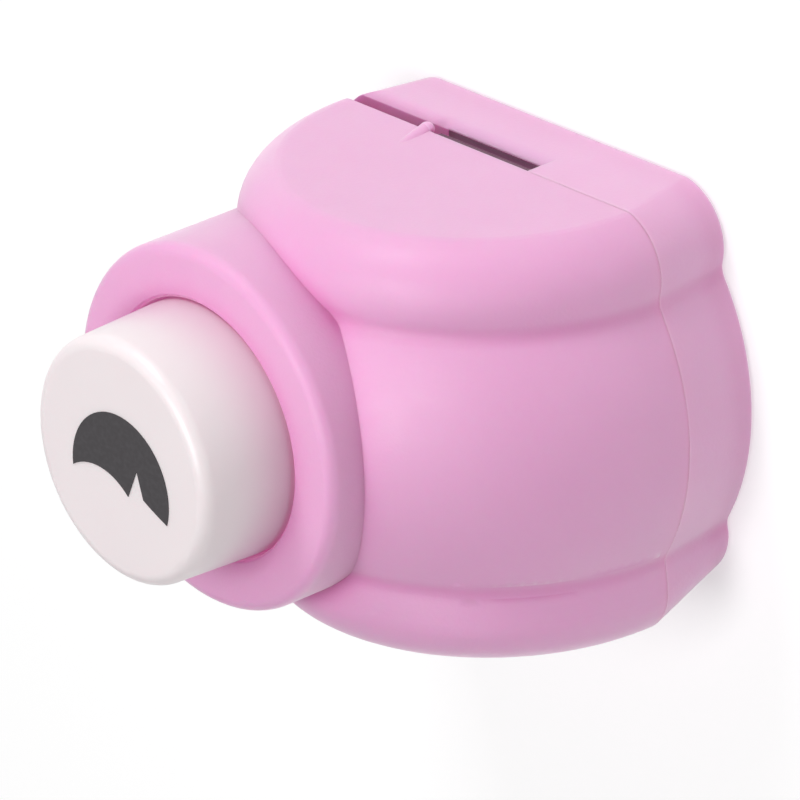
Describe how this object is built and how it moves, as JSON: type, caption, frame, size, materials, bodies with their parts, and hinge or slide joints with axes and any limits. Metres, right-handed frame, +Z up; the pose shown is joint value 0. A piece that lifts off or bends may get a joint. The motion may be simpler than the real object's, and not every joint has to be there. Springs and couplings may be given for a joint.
{
  "type": "corner rounder punch",
  "caption": "Small hand punch for paper corners: a half-barrel plastic body with an offset push button, a front paper slot, and a steel punch and die set on a return spring.",
  "frame": {"origin": "centre of the base's flat bottom face", "axes": "+Z up along the push button's travel axis, -Y the front face with the paper slot, +X towards the slot's open side"},
  "size_m": [0.0352, 0.0282, 0.0322],
  "materials": {
    "pink_plastic": "satin",
    "white_plastic": "satin",
    "emblem_ink": "matte",
    "tool_steel": "satin",
    "plate_steel": "satin",
    "rivet_steel": "satin",
    "spring_steel": "satin",
    "screw_steel": "satin"
  },
  "bodies": {
    "housing": {"upper_shell": "pink_plastic", "base_shell": "pink_plastic", "guide_plate": "plate_steel", "die_plate": "plate_steel", "paper_fence": "plate_steel", "die_rivets": "rivet_steel", "spring_seat": "plate_steel", "return_spring": "spring_steel", "housing_screws": "screw_steel"},
    "plunger": {"push_button": "white_plastic", "button_emblem": "emblem_ink", "punch": "tool_steel", "punch_holder": "white_plastic", "clamp_screws": "screw_steel"}
  },
  "joints": [
    {"name": "button_press", "type": "slide", "parent": "housing", "child": "plunger", "axis": [0, 0, -1], "range_m": [0, 0.0045], "stiffness_N_per_m": 700, "springref_m": -0.003, "deforming": ["return_spring"]}
  ]
}
